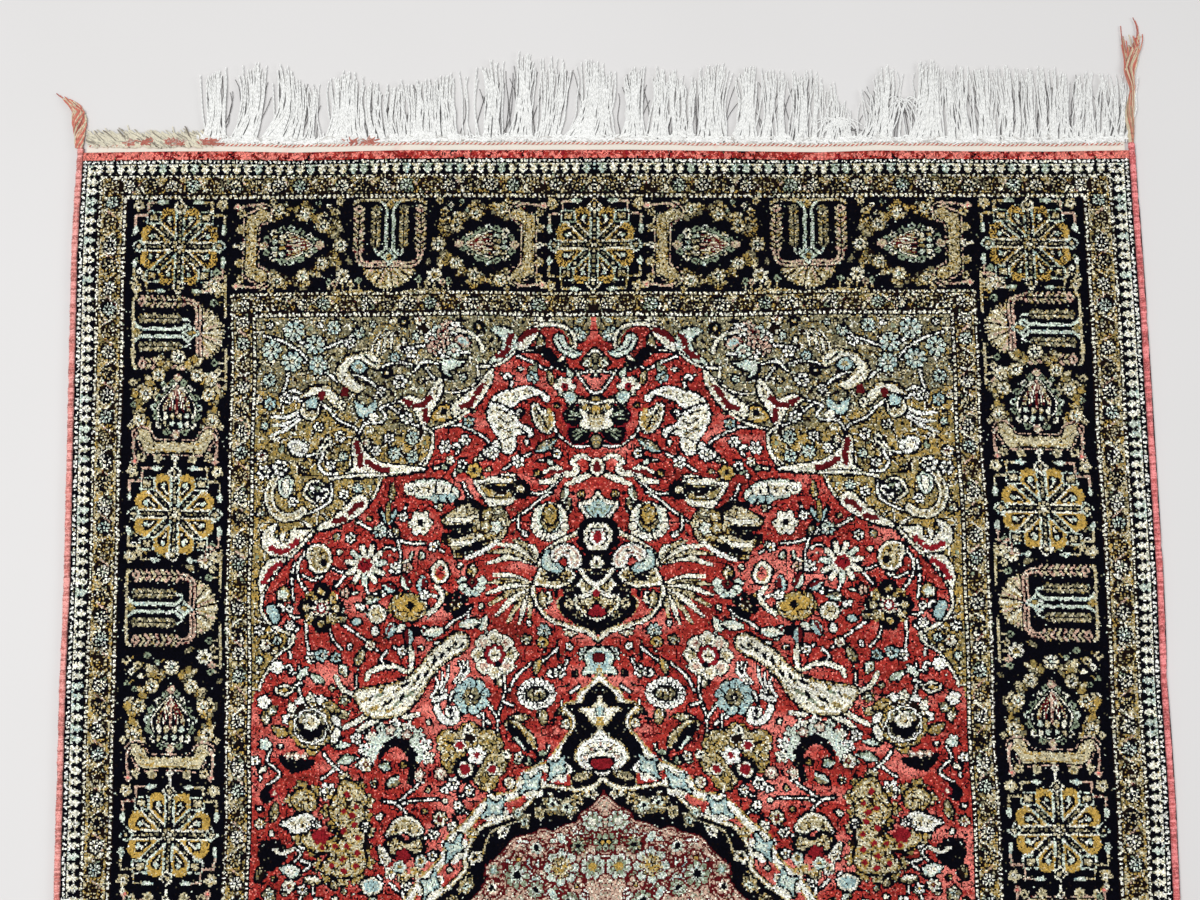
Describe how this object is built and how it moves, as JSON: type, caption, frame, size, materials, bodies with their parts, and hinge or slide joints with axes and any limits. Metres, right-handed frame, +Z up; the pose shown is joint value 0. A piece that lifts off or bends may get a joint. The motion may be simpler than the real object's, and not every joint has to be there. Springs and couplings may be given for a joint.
{
  "type": "persian rug",
  "caption": "Flat hand-knotted rug with a central medallion, patterned borders, overcast sides, and fringed ends with corner tassels.",
  "frame": {"origin": "middle of the underside, on the floor, centred on the box of the rug with its fringes and tassels", "axes": "+X across the rug's width, +Y along its length towards the end that the picture shows, +Z up from the floor"},
  "size_m": [1.0944, 1.8776, 0.006],
  "materials": {
    "pile": "short knotted pile with a slight sheen",
    "selvedge": "matt overcast yarn",
    "stitch": "matt twined yarn",
    "fringe": "matt twisted cotton",
    "tassel": "matt frayed yarn"
  },
  "bodies": {
    "root": {"rug_body": "pile", "selvedge_left": "selvedge", "selvedge_right": "selvedge", "end_stitch_top": "stitch", "end_stitch_bottom": "stitch", "fringe_top": "fringe", "fringe_bottom": "fringe", "corner_tassel_top_left": "tassel", "corner_tassel_top_right": "tassel", "corner_tassel_bottom_left": "tassel", "corner_tassel_bottom_right": "tassel"}
  },
  "joints": []
}
